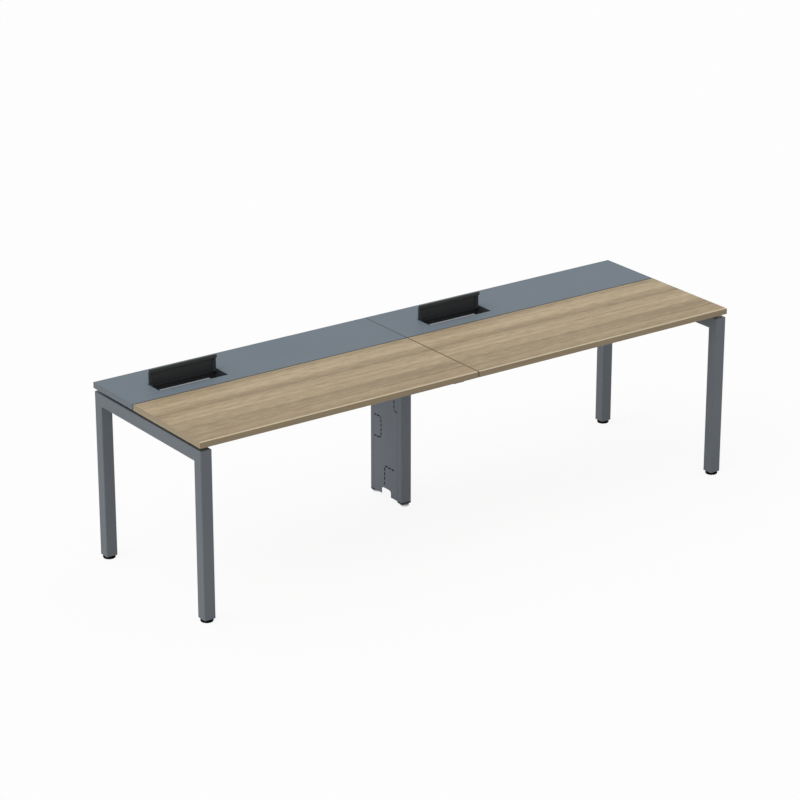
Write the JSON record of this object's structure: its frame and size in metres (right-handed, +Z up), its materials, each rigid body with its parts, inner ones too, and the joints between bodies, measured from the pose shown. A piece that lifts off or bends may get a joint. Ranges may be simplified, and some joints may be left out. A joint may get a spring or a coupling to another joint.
{
  "type": "benching desk for two",
  "caption": "Benching desk with side-by-side places: oak worktops, grey service panels with flap-covered cable ports, square-tube end frames, perforated cable riser.",
  "frame": {"origin": "on the floor, under the middle of the desk's overall box", "axes": "+X along the desk, left to right as its users sit; the users sit on the -Y side; +Z up"},
  "size_m": [2.608, 0.79, 0.813],
  "materials": {
    "worktop_wood": "matt printed oak laminate on chipboard",
    "wood_edge": "matt edge band, wood print",
    "panel_grey": "matt mid-grey laminate on chipboard",
    "panel_edge": "matt grey edge band",
    "frame_paint": "satin grey powder coat",
    "riser_paint": "satin grey powder coat",
    "tray_paint": "satin grey powder coat",
    "flap_black": "matt near-black coat on extruded aluminium",
    "flap_plastic": "matt near-black moulding",
    "strip_aluminium": "satin anodised",
    "glide_black": "matt black moulding",
    "glide_pale": "matt pale grey moulding",
    "inner_plastic": "matt black moulding",
    "zinc_steel": "bright zinc plate"
  },
  "bodies": {
    "frame": {"beam_bolts": "zinc_steel", "beam_saddles": "frame_paint", "cable_tray_left": "tray_paint", "cable_tray_right": "tray_paint", "end_rail_left": "frame_paint", "end_rail_right": "frame_paint", "fixing_tabs": "frame_paint", "flap_housing_left": "flap_black", "flap_housing_right": "flap_black", "flap_strip_left": "strip_aluminium", "flap_strip_right": "strip_aluminium", "front_beam_left": "frame_paint", "front_beam_right": "frame_paint", "front_leg_left": "frame_paint", "front_leg_right": "frame_paint", "joint_plates": "zinc_steel", "leg_plugs": "inner_plastic", "middle_rail": "frame_paint", "middle_rail_caps": "inner_plastic", "rear_beam_left": "frame_paint", "rear_beam_right": "frame_paint", "rear_leg_left": "frame_paint", "rear_leg_right": "frame_paint", "riser_bolts": "zinc_steel", "riser_cover_left": "riser_paint", "riser_cover_right": "riser_paint", "riser_foot_blocks": "inner_plastic", "riser_front_post": "riser_paint", "riser_head_plate": "riser_paint", "riser_rear_post": "riser_paint", "riser_ties": "riser_paint", "service_panel_edging_left": "panel_edge", "service_panel_edging_right": "panel_edge", "service_panel_left": "panel_grey", "service_panel_right": "panel_grey", "top_spacers": "inner_plastic", "tray_hangers_left": "tray_paint", "tray_hangers_right": "tray_paint", "worktop_edging_left": "wood_edge", "worktop_edging_right": "wood_edge", "worktop_left": "worktop_wood", "worktop_right": "worktop_wood"},
    "flap_left": {"flap_lid_left": "flap_black", "flap_blocks_left": "flap_plastic"},
    "flap_right": {"flap_lid_right": "flap_black", "flap_blocks_right": "flap_plastic"},
    "front_glide_left": {"front_glide_left": "glide_black"},
    "rear_glide_left": {"rear_glide_left": "glide_black"},
    "front_glide_right": {"front_glide_right": "glide_black"},
    "rear_glide_right": {"rear_glide_right": "glide_black"},
    "riser_front_glide": {"riser_front_glide": "glide_pale"},
    "riser_rear_glide": {"riser_rear_glide": "glide_pale"}
  },
  "joints": [
    {"name": "flap_hinge_left", "type": "hinge", "parent": "frame", "child": "flap_left", "pos_m": [-0.9845, 0.2418, 0.7432], "axis": [1, 0, 0], "range_deg": [0, 90]},
    {"name": "flap_hinge_right", "type": "hinge", "parent": "frame", "child": "flap_right", "pos_m": [0.321, 0.2418, 0.7432], "axis": [1, 0, 0], "range_deg": [0, 90]},
    {"name": "front_glide_left_travel", "type": "slide", "parent": "frame", "child": "front_glide_left", "axis": [0, 0, -1], "range_m": [0, 0.012]},
    {"name": "rear_glide_left_travel", "type": "slide", "parent": "frame", "child": "rear_glide_left", "axis": [0, 0, -1], "range_m": [0, 0.012]},
    {"name": "front_glide_right_travel", "type": "slide", "parent": "frame", "child": "front_glide_right", "axis": [0, 0, -1], "range_m": [0, 0.012]},
    {"name": "rear_glide_right_travel", "type": "slide", "parent": "frame", "child": "rear_glide_right", "axis": [0, 0, -1], "range_m": [0, 0.012]},
    {"name": "riser_front_glide_travel", "type": "slide", "parent": "frame", "child": "riser_front_glide", "axis": [0, 0, -1], "range_m": [0, 0.012]},
    {"name": "riser_rear_glide_travel", "type": "slide", "parent": "frame", "child": "riser_rear_glide", "axis": [0, 0, -1], "range_m": [0, 0.012]}
  ]
}
